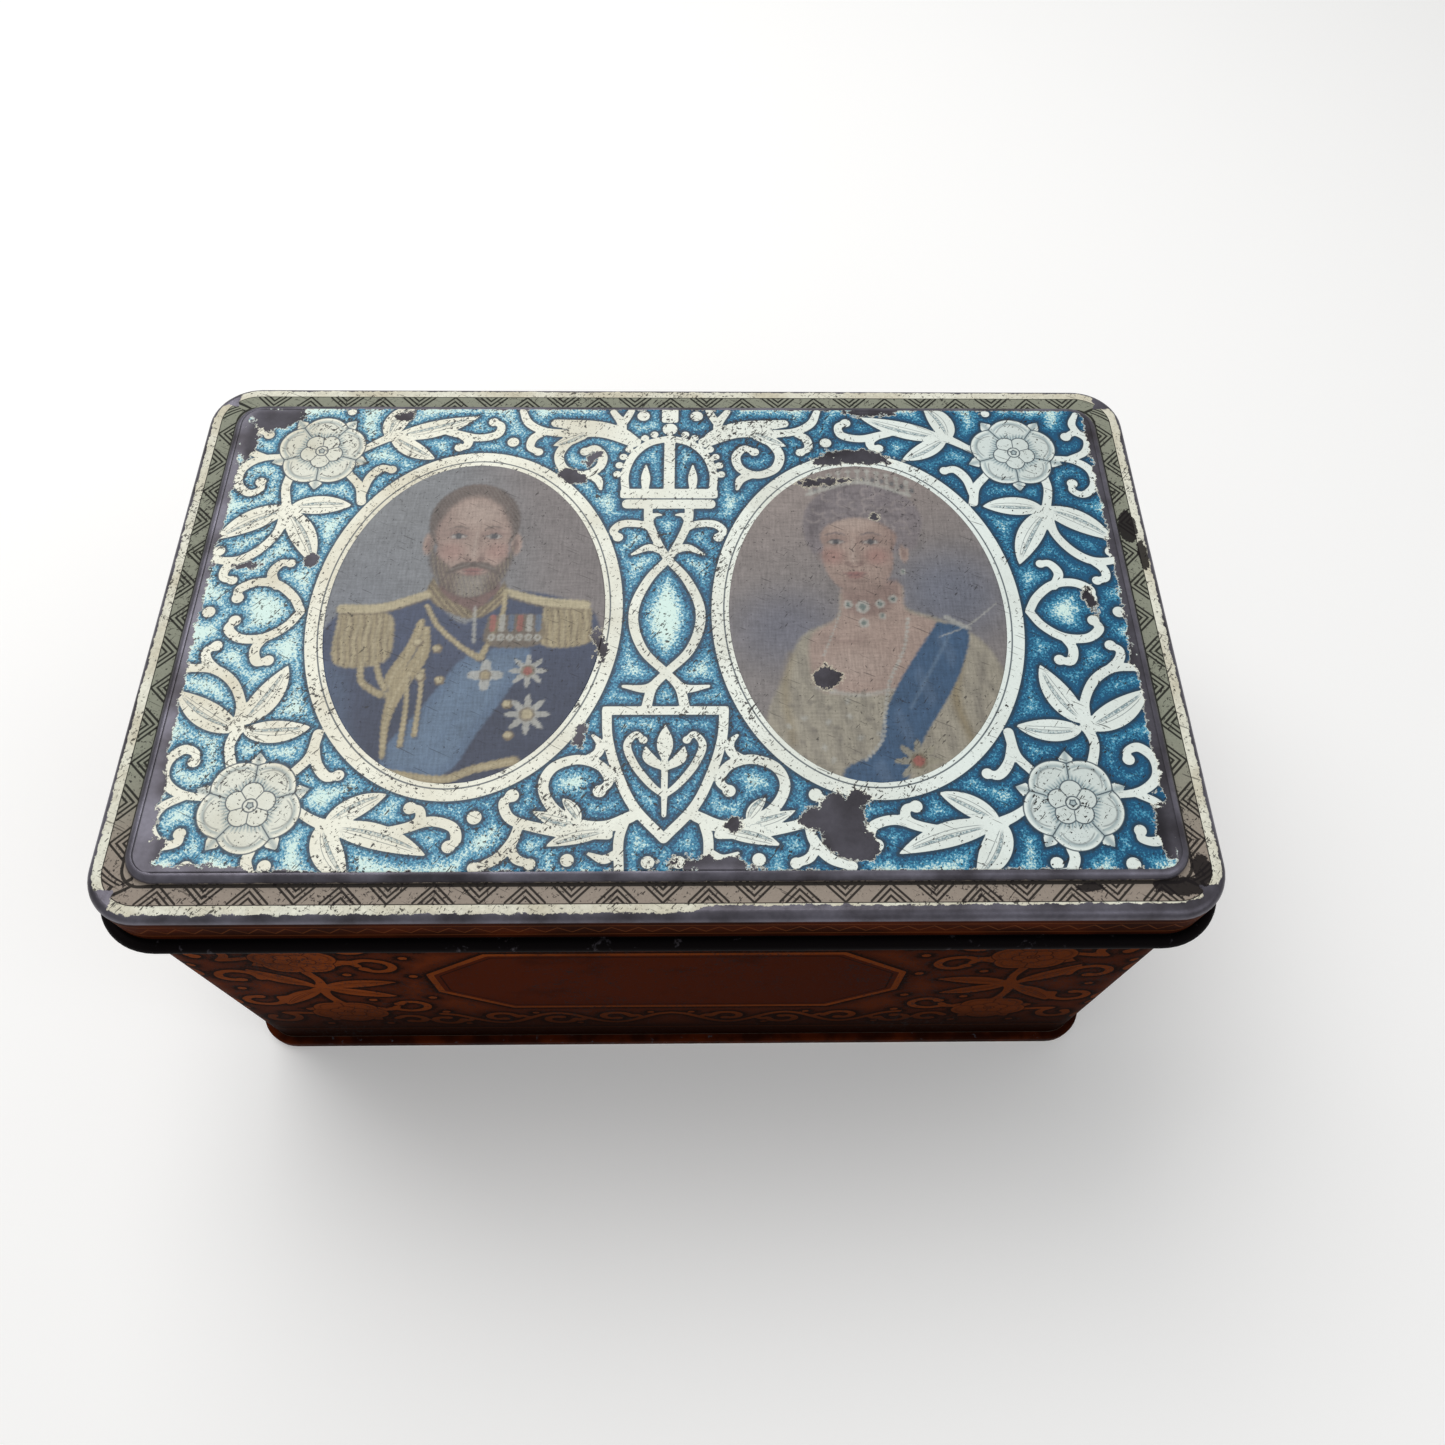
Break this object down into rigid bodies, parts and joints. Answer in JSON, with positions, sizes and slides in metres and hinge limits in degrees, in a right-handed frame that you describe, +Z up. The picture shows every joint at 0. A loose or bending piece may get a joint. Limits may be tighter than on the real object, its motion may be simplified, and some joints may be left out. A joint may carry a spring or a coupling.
{
  "type": "hinged tin",
  "caption": "Rectangular tinplate storage tin with a hinged lid, raised lid panel, wired hem, seamed foot and strap hinge.",
  "frame": {"origin": "centre of the footprint, on the surface that the tin stands on", "axes": "+X along the long side to the right, +Y towards the hinged rear side, +Z up"},
  "size_m": [0.1736, 0.1082, 0.0823],
  "materials": {
    "body_tinplate": "glossy printed tinplate, tone-on-tone copper brown",
    "bottom_tinplate": "bare tinplate, dulled",
    "lid_tinplate": "printed tinplate, blue and cream, worn at the edges",
    "wire_steel": "drawn steel wire",
    "hinge_steel": "plain tinplate, tarnished",
    "rivet_steel": "tinned steel rivets"
  },
  "bodies": {
    "tin_body": {"body_wall": "body_tinplate", "body_bottom": "bottom_tinplate", "hinge_strap_left": "hinge_steel", "hinge_strap_right": "hinge_steel", "hinge_rivet_left_inner": "rivet_steel", "hinge_rivet_left_outer": "rivet_steel", "hinge_rivet_right_inner": "rivet_steel", "hinge_rivet_right_outer": "rivet_steel"},
    "lid": {"lid_shell": "lid_tinplate", "hem_wire": "wire_steel"}
  },
  "joints": [
    {"name": "lid_hinge", "type": "hinge", "parent": "tin_body", "child": "lid", "pos_m": [0, 0.05304, 0.0716], "axis": [-1, 0, 0], "range_deg": [0, 110]}
  ]
}
